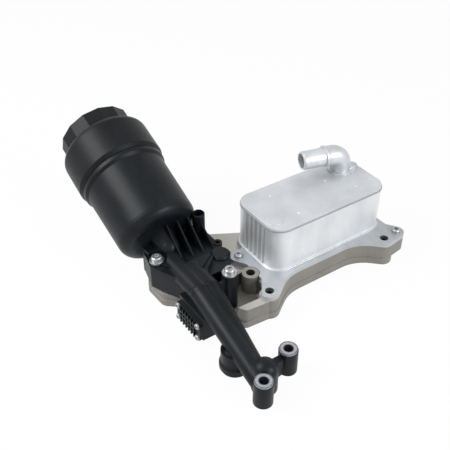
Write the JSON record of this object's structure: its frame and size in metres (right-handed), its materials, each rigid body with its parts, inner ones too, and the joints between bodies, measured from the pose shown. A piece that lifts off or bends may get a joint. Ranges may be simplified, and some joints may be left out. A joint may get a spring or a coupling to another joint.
{
  "type": "engine oil cooler",
  "caption": "Engine oil filter module: plate oil cooler and tilted screw-cap filter cup on a cast base, with moulded coolant ducts to sleeved bolt bosses.",
  "frame": {"origin": "on the engine face, under the middle of the plate cooler", "axes": "+X along the cooler's long side away from the filter, +Y across it towards the screw cap, +Z away from the engine"},
  "size_m": [0.274, 0.3458, 0.1367],
  "materials": {
    "cast_aluminium": "die-cast, fine grained",
    "cooler_aluminium": "brazed, satin",
    "black_plastic": "moulded, satin",
    "zinc_steel": "zinc plated",
    "seal_rubber": "matt",
    "filter_paper": "folded paper",
    "element_plastic": "moulded, satin"
  },
  "bodies": {
    "housing": {"base_casting": "cast_aluminium", "cooler_flange": "cooler_aluminium", "cooler_shell": "cooler_aluminium", "cooler_lid": "cooler_aluminium", "cooler_elbow": "cooler_aluminium", "core_plates": "cooler_aluminium", "core_fins": "cooler_aluminium", "cooler_seals": "seal_rubber", "cooler_screws": "zinc_steel", "filter_housing": "black_plastic", "housing_gasket": "seal_rubber", "housing_screws": "zinc_steel", "bolt_sleeves": "zinc_steel", "port_seal": "seal_rubber", "side_cover": "black_plastic", "cover_seal": "seal_rubber", "cover_screws": "zinc_steel", "stand_pipe": "black_plastic", "bypass_spring": "zinc_steel", "bypass_retainer": "zinc_steel"},
    "element": {"filter_media": "filter_paper", "element_cage": "element_plastic", "element_top_cap": "element_plastic", "element_foot_cap": "element_plastic", "element_seal": "seal_rubber"},
    "cap": {"filter_cap": "black_plastic", "cap_o_ring": "seal_rubber"},
    "bypass": {"bypass_poppet": "black_plastic"}
  },
  "joints": [
    {"name": "cap_lift", "type": "slide", "parent": "housing", "child": "element", "axis": [0, 0.9336, 0.3584], "range_m": [0, 0.012]},
    {"name": "cap_turn", "type": "hinge", "parent": "element", "child": "cap", "pos_m": [-0.144, 0.0787, 0.0582], "axis": [0, 0.9336, 0.3584], "range_deg": [0, 1080]},
    {"name": "bypass_open", "type": "slide", "parent": "housing", "child": "bypass", "axis": [0, -0.9336, -0.3584], "range_m": [0, 0.005], "stiffness_N_per_m": 2000, "springref_m": -0.003, "deforming": ["bypass_spring"]}
  ],
  "couplings": [
    {"joint": "cap_turn", "follows": "cap_lift", "rad_per_m": 1570.8}
  ]
}
